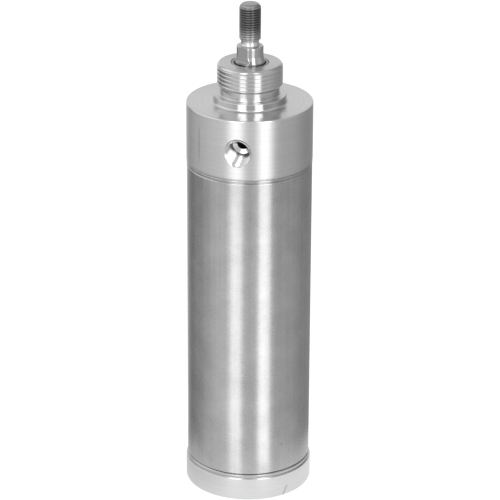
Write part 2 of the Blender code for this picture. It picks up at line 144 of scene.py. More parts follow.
# The view: the camera's azimuth is measured from -Y towards +X.
CAMERA_AZIMUTH = math.radians(10.9)
CAMERA_ELEVATION = math.radians(22.75)
CAMERA_DISTANCE = 1.45
CAMERA_TARGET_HEIGHT = 0.1303
CAMERA_ROLL = math.radians(0.26)
CAMERA_LENS = 198.88
CAMERA_SHIFT_X = 0.0018

# The studio's brightness by azimuth in degrees from the camera's: well below the horizon, and from it up.
LOW_STUDIO = [
    (-180, 0.70),
    (-172, 1.15),
    (-166, 1.00),
    (-156, 0.42),
    (-144, 0.31),
    (-132, 0.17),
    (-114, 0.24),
    (-100, 0.24),
    (-92, 0.36),
    (-84, 0.42),
    (-60, 0.66),
    (-37, 0.76),
    (-32, 1.20),
    (-18, 1.20),
    (-13, 0.64),
    (0, 0.58),
    (14, 0.62),
    (21, 1.40),
    (35, 1.40),
    (41, 0.62),
    (52, 0.52),
    (84, 0.44),
    (120, 0.34),
    (160, 0.32),
    (172, 0.30),
    (180, 0.50),
]
HIGH_STUDIO = [
    (-180, 0.80),
    (-150, 0.80),
    (-132, 0.50),
    (-118, 0.90),
    (-104, 1.05),
    (-70, 1.00),
    (-40, 0.80),
    (-34, 2.6),
    (-14, 2.6),
    (-9, 0.72),
    (15, 0.72),
    (20, 2.8),
    (38, 2.8),
    (43, 0.50),
    (84, 0.62),
    (112, 0.35),
    (140, 0.30),
    (160, 0.70),
    (180, 0.80),
]
ZENITH = 0.55


# ---------------------------------------------------------------- shapes


def rounded(corners, closed=True):
    """An outline of (radius, height) points from corners, each with an optional third value, its fillet."""
    points = []
    count = len(corners)
    for index, corner in enumerate(corners):
        here = Vector(corner[:2])
        if len(corner) < 3 or (not closed and index in (0, count - 1)):
            points.append(here)
            continue
        before = (Vector(corners[index - 1][:2]) - here).normalized()
        after = (Vector(corners[(index + 1) % count][:2]) - here).normalized()
        half_angle = before.angle(after) / 2
        centre = here + (before + after).normalized() * corner[2] / math.sin(half_angle)
        reach = corner[2] / math.tan(half_angle)
        start = here + before * reach - centre
        turn = start.angle_signed(here + after * reach - centre)
        for step in range(ARC_STEPS + 1):
            arm = start.copy()
            arm.rotate(Matrix.Rotation(-turn * step / ARC_STEPS, 2))
            points.append(centre + arm)
    return points


def divided(points, longest, low, high):
    """The outline with its steep stretches between two heights cut into steps no longer than longest."""
    result = [points[0]]
    for start, end in zip(points, points[1:]):
        inside = low <= min(start[1], end[1]) and max(start[1], end[1]) <= high
        steps = max(1, math.ceil(abs(end[1] - start[1]) / longest)) if inside else 1
        for step in range(1, steps + 1):
            result.append(Vector(start).lerp(Vector(end), step / steps))
    return result


def turn_outline(bm, outline, segments, closed=False, reshape=None):
    """Turns an outline of (radius, height) points into bm.

    reshape(angle, radius, height) can change a radius.
    """
    rings = []
    for radius, height in outline:
        ring = []
        for segment in range(segments):
            angle = math.tau * segment / segments
            reach = reshape(angle, radius, height) if reshape else radius
            ring.append(bm.verts.new((reach * math.cos(angle), reach * math.sin(angle), height)))
        rings.append(ring)
    pairs = list(zip(rings, rings[1:]))
    if closed:
        pairs.append((rings[-1], rings[0]))
    for first, second in pairs:
        for left in range(segments):
            right = (left + 1) % segments
            bm.faces.new((first[left], first[right], second[right], second[left]))


def thread_radius(phase, major, depth, crest):
    """A thread's radius at a share of its pitch from the middle of a crest.

    crest is half the flat's share of the pitch.
    """
    root = 0.44
    distance = abs((phase + 0.5) % 1 - 0.5)
    share = min(1, max(0, (distance - crest) / (root - crest)))
    return major - depth * share


def bevelled(end_radius, drop, size):
    """The largest radius at a drop below a thread's end: halfway between a 45 degree bevel and a round."""
    if drop >= size:
        return end_radius + size
    return end_radius + (drop + math.sqrt(size**2 - (size - drop) ** 2)) / 2


def cut_thread(bm, major, pitch, low, high, low_radius, high_radius, segments, rows_per_turn, crest, share):
    """A helical thread's surface, from a ring at low to a ring at high, bevelled at both ends."""
    depth = share * pitch
    turns = math.ceil((high - low) / pitch) + 2
    snap = 0.3 * pitch / rows_per_turn
    columns = []
    for column in range(segments + 1):
        angle = math.tau * column / segments
        verts = []
        for row in range(turns * rows_per_turn):
            phase = row / rows_per_turn - 1
            height = low + pitch * (phase + column / segments)
            radius = thread_radius(phase, major, depth, crest)
            radius = min(radius, low_radius + height - low)
            radius = min(radius, bevelled(high_radius, max(0, high - height), major - high_radius))
            if height < low + snap:
                height, radius = low, low_radius
            if height > high - snap:
                height, radius = high, high_radius
            verts.append(bm.verts.new((radius * math.cos(angle), radius * math.sin(angle), height)))
        columns.append(verts)
    for left, right in zip(columns, columns[1:]):
        for row in range(len(left) - 1):
            bm.faces.new((left[row], right[row], right[row + 1], left[row + 1]))


def finish_piece(name, bm, material, body, node):
    """Closes bm into a piece that rides on body and stands for node."""
    bmesh.ops.remove_doubles(bm, verts=bm.verts, dist=MERGE_DISTANCE)
    bmesh.ops.dissolve_degenerate(bm, dist=MERGE_DISTANCE, edges=bm.edges)
    bmesh.ops.recalc_face_normals(bm, faces=bm.faces)
    mesh = bpy.data.meshes.new(name)
    bm.to_mesh(mesh)
    bm.free()
    mesh.shade_smooth()
    mesh.set_sharp_from_angle(angle=SHARP_ANGLE)
    mesh.materials.append(material)
    piece = bpy.data.objects.new(name, mesh)
    bpy.context.scene.collection.objects.link(piece)
    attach(piece, body)
    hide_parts(node)
    return piece


def even_normals(piece):
    """Lets the large faces set the shading, so that fillets don't bend the light on flat faces."""
    weighted = piece.modifiers.new("even_normals", "WEIGHTED_NORMAL")
    weighted.keep_sharp = True
    weighted.weight = 100


def apply_cut(piece, bm):
    """Cuts the closed shape in bm out of the piece."""
    bmesh.ops.remove_doubles(bm, verts=bm.verts, dist=MERGE_DISTANCE)
    bmesh.ops.recalc_face_normals(bm, faces=bm.faces)
    mesh = bpy.data.meshes.new("tool")
    bm.to_mesh(mesh)
    bm.free()
    tool = bpy.data.objects.new("tool", mesh)
    bpy.context.scene.collection.objects.link(tool)
    boolean = piece.modifiers.new("cut", "BOOLEAN")
    boolean.operation = "DIFFERENCE"
    boolean.solver = "EXACT"
    boolean.object = tool
    graph = bpy.context.evaluated_depsgraph_get()
    made = bpy.data.meshes.new_from_object(piece.evaluated_get(graph))
    piece.modifiers.remove(boolean)
    piece.data = made
    made.shade_smooth()
    made.set_sharp_from_angle(angle=SHARP_ANGLE)
    bpy.data.objects.remove(tool)


# ---------------------------------------------------------------- pieces


def make_tube(material):
    """The tube, rolled into each head's groove, with a short lip beyond it."""
    outer = TUBE_RADIUS
    lip = outer + 0.0001
    corners = [
        (outer, FRONT_GROOVE - 0.0005, 0.0005),
        (outer - CRIMP_DEPTH, FRONT_GROOVE, 0.00012),
        (lip, FRONT_GROOVE + 0.0005, 0.0003),
        (lip, TUBE_TOP, 0.0004),
        (BORE_RADIUS, TUBE_TOP),
        (BORE_RADIUS - CRIMP_DEPTH, FRONT_GROOVE + 0.0002),
        (BORE_RADIUS, FRONT_GROOVE - 0.0010),
        (BORE_RADIUS, REAR_GROOVE + 0.0010),
        (BORE_RADIUS - CRIMP_DEPTH, REAR_GROOVE - 0.0002),
        (BORE_RADIUS, TUBE_BOTTOM),
        (lip, TUBE_BOTTOM, 0.0003),
        (lip, REAR_GROOVE - 0.0006, 0.0003),
        (outer - CRIMP_DEPTH, REAR_GROOVE, 0.00012),
        (outer, REAR_GROOVE + 0.0005, 0.0005),
    ]
    bm = bmesh.new()
    turn_outline(bm, rounded(corners), BODY_SEGMENTS, closed=True)
    piece = finish_piece("tube", bm, material, "barrel", "barrel_tube")
    even_normals(piece)


def seal_groove(middle):
    """The four corners of a head's O-ring groove, in rising order."""
    low = middle - HEAD_SEAL_GROOVE_WIDTH / 2
    high = middle + HEAD_SEAL_GROOVE_WIDTH / 2
    return [
        (SPIGOT_RADIUS, low),
        (HEAD_SEAL_GROOVE_RADIUS, low, 0.0003),
        (HEAD_SEAL_GROOVE_RADIUS, high, 0.0003),
        (SPIGOT_RADIUS, high),
    ]


def port_corners():
    """A port's outline as (radius, depth) points: countersink, the grooves of its thread, drilled end."""
    depth = PORT_MOUTH_RADIUS - PORT_BORE_RADIUS - PORT_THREAD_DEPTH
    corners = [(PORT_MOUTH_RADIUS, 0)]
    while depth + PORT_THREAD_PITCH < PORT_DEPTH:
        crest = PORT_BORE_RADIUS + (PORT_END_RADIUS - PORT_BORE_RADIUS) * depth / PORT_DEPTH
        root = crest + PORT_THREAD_DEPTH
        corners += [
            (root, depth),
            (crest, depth + 0.44 * PORT_THREAD_PITCH),
            (crest, depth + 0.50 * PORT_THREAD_PITCH),
            (root, depth + 0.94 * PORT_THREAD_PITCH),
        ]
        depth += PORT_THREAD_PITCH
    return [
        *corners,
        (PORT_END_RADIUS, depth + 0.44 * PORT_THREAD_PITCH),
        (PORT_END_RADIUS, PORT_DEPTH),
        (FEED_RADIUS, PORT_CONE_DEPTH),
    ]


def make_rear_head(material):
    flange = REAR_FLANGE_RADIUS
    waist = SPIGOT_RADIUS - CRIMP_DEPTH
    corners = [
        (flange, 0, 0.0008),
        (flange, REAR_FLANGE_TOP, 0.0003),
        (TUBE_RADIUS, REAR_FLANGE_TOP),
        (TUBE_RADIUS, REAR_FLANGE_TOP + 0.8 * GAP),
        (SPIGOT_RADIUS, REAR_FLANGE_TOP + 0.8 * GAP),
        (waist, REAR_GROOVE - 0.0010),
        (waist, REAR_GROOVE + 0.0006),
        (SPIGOT_RADIUS, REAR_GROOVE + 0.0014),
        *seal_groove((REAR_GROOVE + REAR_INNER_FACE) / 2 + 0.0004),
        (SPIGOT_RADIUS, REAR_INNER_FACE, 0.0005),
        (FEED_RADIUS, REAR_INNER_FACE),
        *reversed(port_corners()),
    ]
    bm = bmesh.new()
    turn_outline(bm, rounded(corners), BODY_SEGMENTS, closed=True)
    piece = finish_piece("rear_cap", bm, material, "barrel", "rear_head")
    even_normals(piece)


def make_front_head(material):
    """The front head: spigot, flange with its side port, pilot, relief and threaded nose."""
    flange = FRONT_FLANGE_RADIUS
    waist = SPIGOT_RADIUS - CRIMP_DEPTH
    hole = BUSHING_RADIUS + 0.0002
    snap_top = SNAP_GROOVE_BOTTOM + SNAP_GROOVE_WIDTH
    thread_top_radius = NOSE_THREAD_RADIUS - NOSE_CHAMFER
    corners = [
        (thread_top_radius, NOSE_FACE),
        (hole, NOSE_FACE, 0.0002),
        (hole, BUSHING_SEAT),
        (BUSHING_BORE_RADIUS + GAP, BUSHING_SEAT),
        (BUSHING_BORE_RADIUS + GAP, SEAL_POCKET_TOP),
        (SEAL_POCKET_RADIUS, SEAL_POCKET_TOP),
        (SEAL_POCKET_RADIUS, snap_top),
        (SNAP_GROOVE_RADIUS, snap_top),
        (SNAP_GROOVE_RADIUS, SNAP_GROOVE_BOTTOM),
        (SEAL_POCKET_RADIUS, SNAP_GROOVE_BOTTOM),
        (SEAL_POCKET_RADIUS, FRONT_INNER_FACE),
        (SPIGOT_RADIUS, FRONT_INNER_FACE, 0.0005),
        *seal_groove((FRONT_GROOVE + FRONT_INNER_FACE) / 2 - 0.0004),
        (SPIGOT_RADIUS, FRONT_GROOVE - 0.0014),
        (waist, FRONT_GROOVE - 0.0006),
        (waist, FRONT_GROOVE + 0.0010),
        (SPIGOT_RADIUS, FRONT_FLANGE_START - 0.8 * GAP),
        (TUBE_RADIUS - 0.0002, FRONT_FLANGE_START - 0.8 * GAP),
        (TUBE_RADIUS - 0.0002, FRONT_FLANGE_START),
        (flange, FRONT_FLANGE_START, 0.0008),
        (flange, SHOULDER, 0.0007),
        (PILOT_RADIUS, SHOULDER, 0.0012),
        (PILOT_RADIUS, PILOT_TOP, 0.0005),
        (RELIEF_RADIUS, PILOT_TOP, 0.0006),
        (RELIEF_RADIUS, NOSE_THREAD_START),
    ]
    outline = divided(rounded(corners, closed=False), 0.0010, FRONT_FLANGE_START, SHOULDER)
    bm = bmesh.new()
    turn_outline(bm, outline, BODY_SEGMENTS)
    cut_thread(
        bm,
        NOSE_THREAD_RADIUS,
        NOSE_THREAD_PITCH,
        NOSE_THREAD_START,
        NOSE_FACE,
        RELIEF_RADIUS,
        thread_top_radius,
        BODY_SEGMENTS,
        rows_per_turn=20,
        crest=0.25,
        share=0.21,
    )
    piece = finish_piece("front_cap", bm, material, "barrel", "front_head")
    apply_cut(piece, port_tool())
    apply_cut(piece, down_hole_tool())
    even_normals(piece)


def port_tool():
    """The front port's bore and feed hole, which run along Y into the flange."""
    outline = [(0, -0.002), (PORT_MOUTH_RADIUS + 0.002, -0.002)]
    outline += rounded(port_corners(), closed=False)
    outline += [(FEED_RADIUS, FEED_END + FRONT_FLANGE_RADIUS), (0, FEED_END + FRONT_FLANGE_RADIUS)]
    bm = bmesh.new()
    turn_outline(bm, outline, 128)
    inwards = Matrix.Rotation(math.radians(-90), 4, "X")
    place = Matrix.Translation((0, -FRONT_FLANGE_RADIUS, PORT_HEIGHT))
    bmesh.ops.transform(bm, matrix=place @ inwards, verts=bm.verts)
    return bm


def down_hole_tool():
    """The hole from the front port's feed hole down into the tube."""
    low = FRONT_INNER_FACE - 0.002
    outline = [(0, low), (DOWN_HOLE_RADIUS, low), (DOWN_HOLE_RADIUS, PORT_HEIGHT), (0, PORT_HEIGHT)]
    bm = bmesh.new()
    turn_outline(bm, outline, 48)
    bmesh.ops.translate(bm, verts=bm.verts, vec=(0, DOWN_HOLE_Y, 0))
    return bm


def make_bushing(material):
    corners = [
        (BUSHING_RADIUS, BUSHING_TOP, 0.0003),
        (BUSHING_BORE_RADIUS, BUSHING_TOP, 0.0005),
        (BUSHING_BORE_RADIUS, BUSHING_LOW.z, 0.0003),
        (BUSHING_RADIUS, BUSHING_LOW.z, 0.0003),
    ]
    bm = bmesh.new()
    turn_outline(bm, rounded(corners), ROD_SEGMENTS, closed=True)
    piece = finish_piece("nose_bushing", bm, material, "barrel", "rod_bushing")
    even_normals(piece)


def wrench_flats(angle, radius, height):
    """Cuts a radius back to the two flats, whose lower ends run out in an arc."""
    if not FLAT_START - 0.001 < height < FLAT_END + 0.0002:
        return radius
    rise = max(0, FLAT_START + FLAT_RUN_OUT - height) / FLAT_RUN_OUT
    if rise > 1:
        return radius
    out = HALF_ACROSS_FLATS + FLAT_RUN_OUT * (1 - math.sqrt(1 - rise * rise))
    normal = FLAT_AZIMUTH - math.pi / 2
    facing = abs(math.cos(angle - normal))
    return min(radius, out / max(facing, 0.05))


def make_rod(material):
    """The piston rod, with its wrench flats, neck and thread."""
    taper = [(ROD_RADIUS, FLAT_START)]
    for step in range(1, FLAT_TAPER_STEPS + 1):
        share = step / FLAT_TAPER_STEPS
        radius = ROD_RADIUS - (ROD_RADIUS - FLAT_SECTION_RADIUS) * math.sin(share * math.pi / 2)
        taper.append((radius, FLAT_START + FLAT_TAPER * share))
    corners = [
        (0, ROD_LOW.z),
        (STEM_RADIUS, ROD_LOW.z, 0.0007),
        (STEM_RADIUS, ROD_SHOULDER, 0.0002),
        (ROD_RADIUS, ROD_SHOULDER, 0.0003),
        *taper,
        (FLAT_SECTION_RADIUS, FLAT_END, 0.0007),
        (NECK_RADIUS, FLAT_END + 0.0002, 0.0013),
        (NECK_RADIUS, ROD_THREAD_START),
    ]
    outline = divided(rounded(corners, closed=False), 0.0002, FLAT_START - 0.001, FLAT_END)
    bm = bmesh.new()
    turn_outline(bm, outline, ROD_SEGMENTS, reshape=wrench_flats)
    cut_thread(
        bm,
        ROD_THREAD_RADIUS,
        ROD_THREAD_PITCH,
        ROD_THREAD_START,
        ROD_END,
        NECK_RADIUS,
        ROD_TIP_RADIUS,
        ROD_SEGMENTS,
        rows_per_turn=12,
        crest=0.14,
        share=0.50,
    )
    turn_outline(bm, [(ROD_TIP_RADIUS, ROD_END), (0, ROD_END)], ROD_SEGMENTS)
    piece = finish_piece("rod", bm, material, "rod_assembly", "piston_rod")
    even_normals(piece)


# ---------------------------------------------------------------- materials


class Shader:
    """A Principled material and short ways to add nodes to it."""

    def __init__(self, name, colour, roughness, metallic=1.0):
        self.material = bpy.data.materials.new(name)
        self.material.use_nodes = True
        self.nodes = self.material.node_tree.nodes
        self.links = self.material.node_tree.links
        self.surface = self.nodes["Principled BSDF"]
        self.surface.inputs["Base Color"].default_value = (*colour, 1)
        self.surface.inputs["Roughness"].default_value = roughness
        self.surface.inputs["Metallic"].default_value = metallic
        coordinates = self.nodes.new("ShaderNodeTexCoord")
        self.place = coordinates.outputs["Object"]
        self.facing = coordinates.outputs["Normal"]

    def put(self, value, socket):
        """Gives a socket a link or a plain value."""
        if isinstance(value, bpy.types.NodeSocket):
            self.links.new(value, socket)
        else:
            socket.default_value = value

    def set(self, name, value):
        self.put(value, self.surface.inputs[name])

    def math(self, operation, first, second=0.0, third=0.0):
        node = self.nodes.new("ShaderNodeMath")
        node.operation = operation
        for socket, value in zip(node.inputs, (first, second, third)):
            self.put(value, socket)
        return node.outputs[0]

    def one_minus(self, value):
        return self.math("SUBTRACT", 1.0, value)

    def spread(self, value, low, high):
        """Maps 0..1 to low..high."""
        return self.math("MULTIPLY_ADD", value, high - low, low)

    def mix(self, share, first, second):
        """first where share is 0, second where it is 1."""
        kept = self.math("MULTIPLY", self.one_minus(share), first)
        return self.math("ADD", kept, self.math("MULTIPLY", share, second))

    def step(self, value, low, high):
        """0 at low and 1 at high, softly between. low may be the larger one."""
        node = self.nodes.new("ShaderNodeMapRange")
        node.interpolation_type = "SMOOTHSTEP"
        self.links.new(value, node.inputs["Value"])
        node.inputs["From Min"].default_value = low
        node.inputs["From Max"].default_value = high
        return node.outputs[0]

    def length(self, first, second):
        squares = [self.math("MULTIPLY", value, value) for value in (first, second)]
        return self.math("SQRT", self.math("ADD", *squares))

    def split(self, vector=None):
        """The X, Y and Z of a vector, or of the place where none is given."""
        node = self.nodes.new("ShaderNodeSeparateXYZ")
        self.links.new(self.place if vector is None else vector, node.inputs[0])
        return node.outputs

    def joined(self, x, y, z):
        node = self.nodes.new("ShaderNodeCombineXYZ")
        for socket, value in zip(node.inputs, (x, y, z)):
            self.put(value, socket)
        return node.outputs[0]

    def noise(self, vector, scale, detail, roughness):
        node = self.nodes.new("ShaderNodeTexNoise")
        node.inputs["Scale"].default_value = scale
        node.inputs["Detail"].default_value = detail
        node.inputs["Roughness"].default_value = roughness
        self.links.new(vector, node.inputs["Vector"])
        return node.outputs["Fac"]

    def scaled_place(self, across, along):
        """The place times across in X and Y, and times along in Z."""
        x, y, z = self.split()
        return self.joined(
            self.math("MULTIPLY", x, across),
            self.math("MULTIPLY", y, across),
            self.math("MULTIPLY", z, along),
        )

    def turned_place(self, across, around):
        """Coordinates that make noise into fine rings.

        across counts along radius and height, around along the turn.
        """
        x, y, z = self.split()
        return self.joined(
            self.math("MULTIPLY", self.math("ADD", self.length(x, y), z), across),
            self.math("MULTIPLY", x, around),
            self.math("MULTIPLY", y, around),
        )

    def bump(self, height, strength):
        node = self.nodes.new("ShaderNodeBump")
        node.inputs["Strength"].default_value = strength
        node.inputs["Distance"].default_value = BUMP_DISTANCE
        self.links.new(height, node.inputs["Height"])
        self.set("Normal", node.outputs[0])

    def swayed_normal(self, amount):
        """The surface's normal, turned round the axis by a fine noise."""
        x, y, _ = self.split()
        fine = self.noise(self.scaled_place(350, 1300), 1.0, 2, 0.6)
        turn = self.math("MULTIPLY", self.math("SUBTRACT", fine, 0.5), amount)
        back = self.math("MULTIPLY", turn, -1)
        aside = self.joined(self.math("MULTIPLY", y, back), self.math("MULTIPLY", x, turn), 0.0)
        added = self.nodes.new("ShaderNodeVectorMath")
        self.links.new(self.nodes.new("ShaderNodeNewGeometry").outputs["Normal"], added.inputs[0])
        self.links.new(aside, added.inputs[1])
        unit = self.nodes.new("ShaderNodeVectorMath")
        unit.operation = "NORMALIZE"
        self.links.new(added.outputs[0], unit.inputs[0])
        return unit.outputs[0]

    def scratched(self, metal, seed):
        """A base grey with a few short, thin and darker scratches."""
        x, y, z = self.split()
        slant = self.joined(
            self.math("MULTIPLY_ADD", x, 90, seed),
            self.math("MULTIPLY", y, 90),
            self.math("MULTIPLY_ADD", z, 60, seed),
        )
        line = self.math("ABSOLUTE", self.math("SUBTRACT", self.noise(slant, 1.0, 1, 0.4), 0.5))
        where = self.step(self.noise(self.place, 70, 1, 0.5), 0.66, 0.70)
        scratches = self.math("MULTIPLY", where, self.one_minus(self.step(line, 0.002, 0.006)))
        return self.mix(self.math("MULTIPLY", scratches, 0.3), metal, 0.2)

    def brushed_round(self, amount):
        """Stretches highlights across grooves that run round the Z axis."""
        tangent = self.nodes.new("ShaderNodeTangent")
        tangent.direction_type = "RADIAL"
        tangent.axis = "Z"
        self.set("Tangent", tangent.outputs[0])
        self.set("Anisotropic", amount)
        self.set("Anisotropic Rotation", QUARTER_TURN)


def stainless():
    """Drawn stainless steel: a fine grain round the tube, a soft mottle, scratches, and painted shade in the
    rolled grooves, near black at the rear and mid grey at the front.
    """
    shader = Shader("stainless_tube", (0.60, 0.60, 0.60), 0.3)
    x, y, z = shader.split()
    cloud = shader.noise(shader.place, 75, 4, 0.6)
    speck = shader.noise(shader.place, 1100, 2, 0.6)
    rear_rolled = shader.step(z, REAR_GROOVE + 0.0002, REAR_GROOVE - 0.0002)
    front_rolled = shader.step(z, FRONT_GROOVE - 0.0010, FRONT_GROOVE - 0.0004)
    rolled = shader.math("ADD", rear_rolled, front_rolled)
    outer_surface = shader.step(shader.length(x, y), TUBE_RADIUS - 0.0005, TUBE_RADIUS - 0.0002)
    grained = shader.math("MULTIPLY", outer_surface, shader.one_minus(rolled))

    drawn = shader.math("ADD", shader.spread(speck, 0.26, 0.29), shader.spread(cloud, -0.03, 0.03))
    shader.set("Roughness", shader.mix(rolled, drawn, 0.16))
    shader.brushed_round(shader.mix(rolled, 0.93, 0.0))
    shader.set("Normal", shader.swayed_normal(shader.math("MULTIPLY", grained, 0.030 / TUBE_RADIUS)))

    streaks = shader.noise(shader.scaled_place(420, 5), 1.0, 3, 0.6)
    metal = shader.math("ADD", shader.spread(cloud, 0.46, 0.68), shader.spread(speck, -0.05, 0.05))
    metal = shader.math("ADD", metal, shader.spread(shader.step(z, 0.10, 0.19), 0.02, -0.05))
    metal = shader.math("ADD", metal, shader.spread(streaks, -0.07, 0.07))
    metal = shader.scratched(metal, 3.0)
    # Painted shade: the rolled grooves below the outer surface are painted near black at the rear and mid
    # grey at the front.
    groove_shade = shader.mix(shader.step(z, 0.09, 0.10), 0.05, 0.50)
    shader.set("Base Color", shader.mix(outer_surface, groove_shade, metal))
    return shader.material


def port_masks(shader):
    """1 in the front head's side port, and 1 in only the feed hole beyond the port's drilled end."""
    x, y, z = shader.split()
    from_axis = shader.length(x, shader.math("SUBTRACT", z, PORT_HEIGHT))
    near_port = shader.math("LESS_THAN", from_axis, PORT_MOUTH_RADIUS + 0.00002)
    in_port = shader.math("MULTIPLY", near_port, shader.math("LESS_THAN", y, PORT_INNER_LIMIT))
    beyond_cone = shader.math("GREATER_THAN", y, PORT_CONE_DEPTH - FRONT_FLANGE_RADIUS)
    return in_port, shader.math("MULTIPLY", in_port, beyond_cone)


def marked(shader, metal, aside, half_width, along, strength, grey):
    """A base grey with a thin mark on its -Y side.

    aside is the distance from the mark's middle, and along is 1 over the mark's length.
    """
    _, y, _ = shader.split()
    across = shader.step(shader.math("ABSOLUTE", aside), half_width, MARK_CORE)
    mark = shader.math("MULTIPLY", shader.math("MULTIPLY", across, along), shader.math("LESS_THAN", y, 0.0))
    return shader.mix(shader.math("MULTIPLY", mark, strength), metal, grey)


def with_line(shader, metal):
    """Adds the thin upright line on the front head, which fades out at both ends."""
    x, _, z = shader.split()
    aside = shader.math("SUBTRACT", x, LINE_X)
    starts = shader.step(z, LINE_LOW, LINE_LOW + 0.010)
    ends = shader.step(z, LINE_HIGH - 0.006, LINE_HIGH)
    return marked(shader, metal, aside, 0.0004, shader.math("SUBTRACT", starts, ends), 0.55, 0.22)


def with_scuff(shader, metal):
    """Adds the slanted scuff at the foot of the rear head."""
    x, _, z = shader.split()
    aside = shader.math("SUBTRACT", x, shader.math("MULTIPLY_ADD", z, SCUFF_SLANT, SCUFF_X))
    return marked(shader, metal, aside, 0.0006, shader.step(z, SCUFF_TOP, SCUFF_TOP - 0.0016), 0.5, 0.25)


def nose_grey(shader):
    """The base grey of the pilot and nose: a paler thread, and an end face a little darker than both."""
    _, _, z = shader.split()
    side = shader.mix(shader.step(z, NOSE_THREAD_START - 0.0010, NOSE_THREAD_START), 0.66, 0.70)
    return shader.mix(shader.step(z, NOSE_FACE - 0.0002, NOSE_FACE - 0.0001), side, 0.62)


def machined_aluminium(name, colour, roughness, stretch=0.9):
    """Turned aluminium: fine rings round the axis, a finer finish on the nose and in the port, marks, and
    painted shade in the feed hole.
    """
    shader = Shader(name, (colour, colour, colour), roughness)
    x, y, _ = shader.split()
    _, _, upward = shader.split(shader.facing)
    rings = shader.noise(shader.turned_place(9000, 20), 1.0, 3, 0.6)
    broad = shader.noise(shader.turned_place(900, 6), 1.0, 2, 0.5)
    speck = shader.noise(shader.place, 900, 2, 0.6)
    in_port, feed_hole_shade = port_masks(shader)
    outside = shader.one_minus(in_port)
    nose = shader.step(shader.length(x, y), PILOT_RADIUS + 0.0010, PILOT_RADIUS)
    level = shader.step(upward, 0.90, 0.99)
    edge = shader.math("MULTIPLY", shader.step(upward, 0.05, 0.2), shader.one_minus(level))

    finish = shader.mix(level, shader.spread(rings, roughness - 0.05, roughness + 0.05), 0.21)
    finish = shader.mix(edge, finish, 0.16)
    finish = shader.mix(nose, finish, shader.mix(level, 0.12, 0.34))
    shader.set("Roughness", shader.mix(in_port, finish, 0.14))

    drawn = shader.math("MULTIPLY", outside, shader.one_minus(edge))
    shader.set("Tangent", shader.joined(shader.math("MULTIPLY", y, -1), x, 0.0))
    shader.set("Anisotropic Rotation", QUARTER_TURN)
    shader.set("Anisotropic", shader.math("MULTIPLY", drawn, shader.mix(nose, stretch, 0.6)))
    shader.bump(shader.math("MULTIPLY", shader.math("ADD", rings, broad), outside), 0.25)

    metal = shader.spread(broad, colour - 0.06, colour + 0.06)
    metal = shader.math("ADD", metal, shader.spread(speck, -0.04, 0.04))
    metal = shader.math("MULTIPLY_ADD", level, -0.05, metal)
    metal = with_scuff(shader, with_line(shader, metal))
    metal = shader.mix(nose, metal, nose_grey(shader))
    metal = shader.scratched(metal, 7.0)
    # Painted shade: the feed hole beyond the port's drilled end is painted nearly black.
    shader.set("Base Color", shader.mix(feed_hole_shade, metal, 0.05))
    return shader.material


def rod_steel():
    """The rod: bright hard chrome below, plain turned steel at the flats, neck and thread, with painted
    shade where the flats run out.
    """
    shader = Shader("rod_steel", (0.62, 0.62, 0.62), 0.12)
    _, _, z = shader.split()
    facing_x, facing_y, facing_z = shader.split(shader.facing)
    rings = shader.noise(shader.turned_place(9000, 20), 1.0, 2, 0.5)
    turn = FLAT_AZIMUTH - math.pi / 2
    along = shader.math("MULTIPLY", facing_x, math.cos(turn))
    along = shader.math("ABSOLUTE", shader.math("MULTIPLY_ADD", facing_y, math.sin(turn), along))
    above = shader.math("GREATER_THAN", z, FLAT_START)
    below = shader.math("LESS_THAN", z, FLAT_END)
    flat = shader.math("GREATER_THAN", along, 0.985)
    milled = shader.math("MULTIPLY", flat, shader.math("MULTIPLY", above, below))
    low_end = shader.step(z, FLAT_START + 0.0018, FLAT_START + 0.0012)
    run_out_shade = shader.math("MULTIPLY", shader.step(along, 0.5, 0.7), low_end)
    turned = shader.step(z, FLAT_END - 0.0004, FLAT_END)
    neck = shader.step(z, FLAT_END + 0.0003, FLAT_END + 0.0012)
    thread = shader.step(z, ROD_THREAD_START - 0.001, ROD_THREAD_START + 0.001)
    upper = shader.step(z, ROD_THREAD_START, ROD_THREAD_START + 0.009)
    tip = shader.step(z, ROD_END - 0.0023, ROD_END - 0.0019)
    face = shader.math("MULTIPLY", tip, shader.step(facing_z, 0.3, 0.5))

    colour = shader.mix(milled, 0.58, 0.46)
    # Painted shade: where the flats run out at their lower end, the steel is painted darker than the milled
    # flats.
    colour = shader.mix(shader.math("MULTIPLY", above, run_out_shade), colour, 0.32)
    colour = shader.mix(turned, colour, shader.mix(neck, 0.56, 0.80))
    colour = shader.mix(thread, colour, shader.mix(upper, 0.52, 0.17))
    shader.set("Base Color", shader.mix(face, colour, 0.40))

    rough = shader.mix(milled, shader.spread(rings, 0.06, 0.12), 0.36)
    rough = shader.mix(turned, rough, 0.26)
    shader.set("Roughness", shader.mix(thread, rough, 0.30))
    return shader.material


def sintered_bronze():
    shader = Shader("bushing_bronze", (0.42, 0.415, 0.40), 0.4)
    shader.bump(shader.noise(shader.place, 5000, 2, 0.6), 0.3)
    x, y, _ = shader.split()
    # Painted shade: the bore and inner edge of the bushing are painted nearly black, where the rod enters.
    ring = shader.step(shader.length(x, y), BUSHING_BORE_RADIUS + 0.0003, BUSHING_BORE_RADIUS + 0.0005)
    shader.set("Base Color", shader.mix(ring, 0.06, 0.41))
    return shader.material


def plain(name, colour, roughness, metallic):
    """A material for an inner piece, with a fine grain."""
    shader = Shader(name, colour, roughness, metallic)
    grain = shader.noise(shader.place, 2500, 3, 0.6)
    shader.set("Roughness", shader.spread(grain, roughness - 0.08, roughness + 0.08))
    shader.bump(grain, 0.2)
    return shader.material


# ---------------------------------------------------------------- studio


def world_ramp(nodes, links, value, stops):
    """The studio's brightness round the object: stops are (degrees from the camera's azimuth, level)."""
    ramp = nodes.new("ShaderNodeValToRGB")
    links.new(value, ramp.inputs[0])
    elements = ramp.color_ramp.elements
    while len(elements) < len(stops):
        elements.new(0.5)
    for element, (degrees, level) in zip(elements, stops):
        element.position = degrees / 360 + 0.5
        element.color = (level, level, level, 1)
    return ramp.outputs[0]


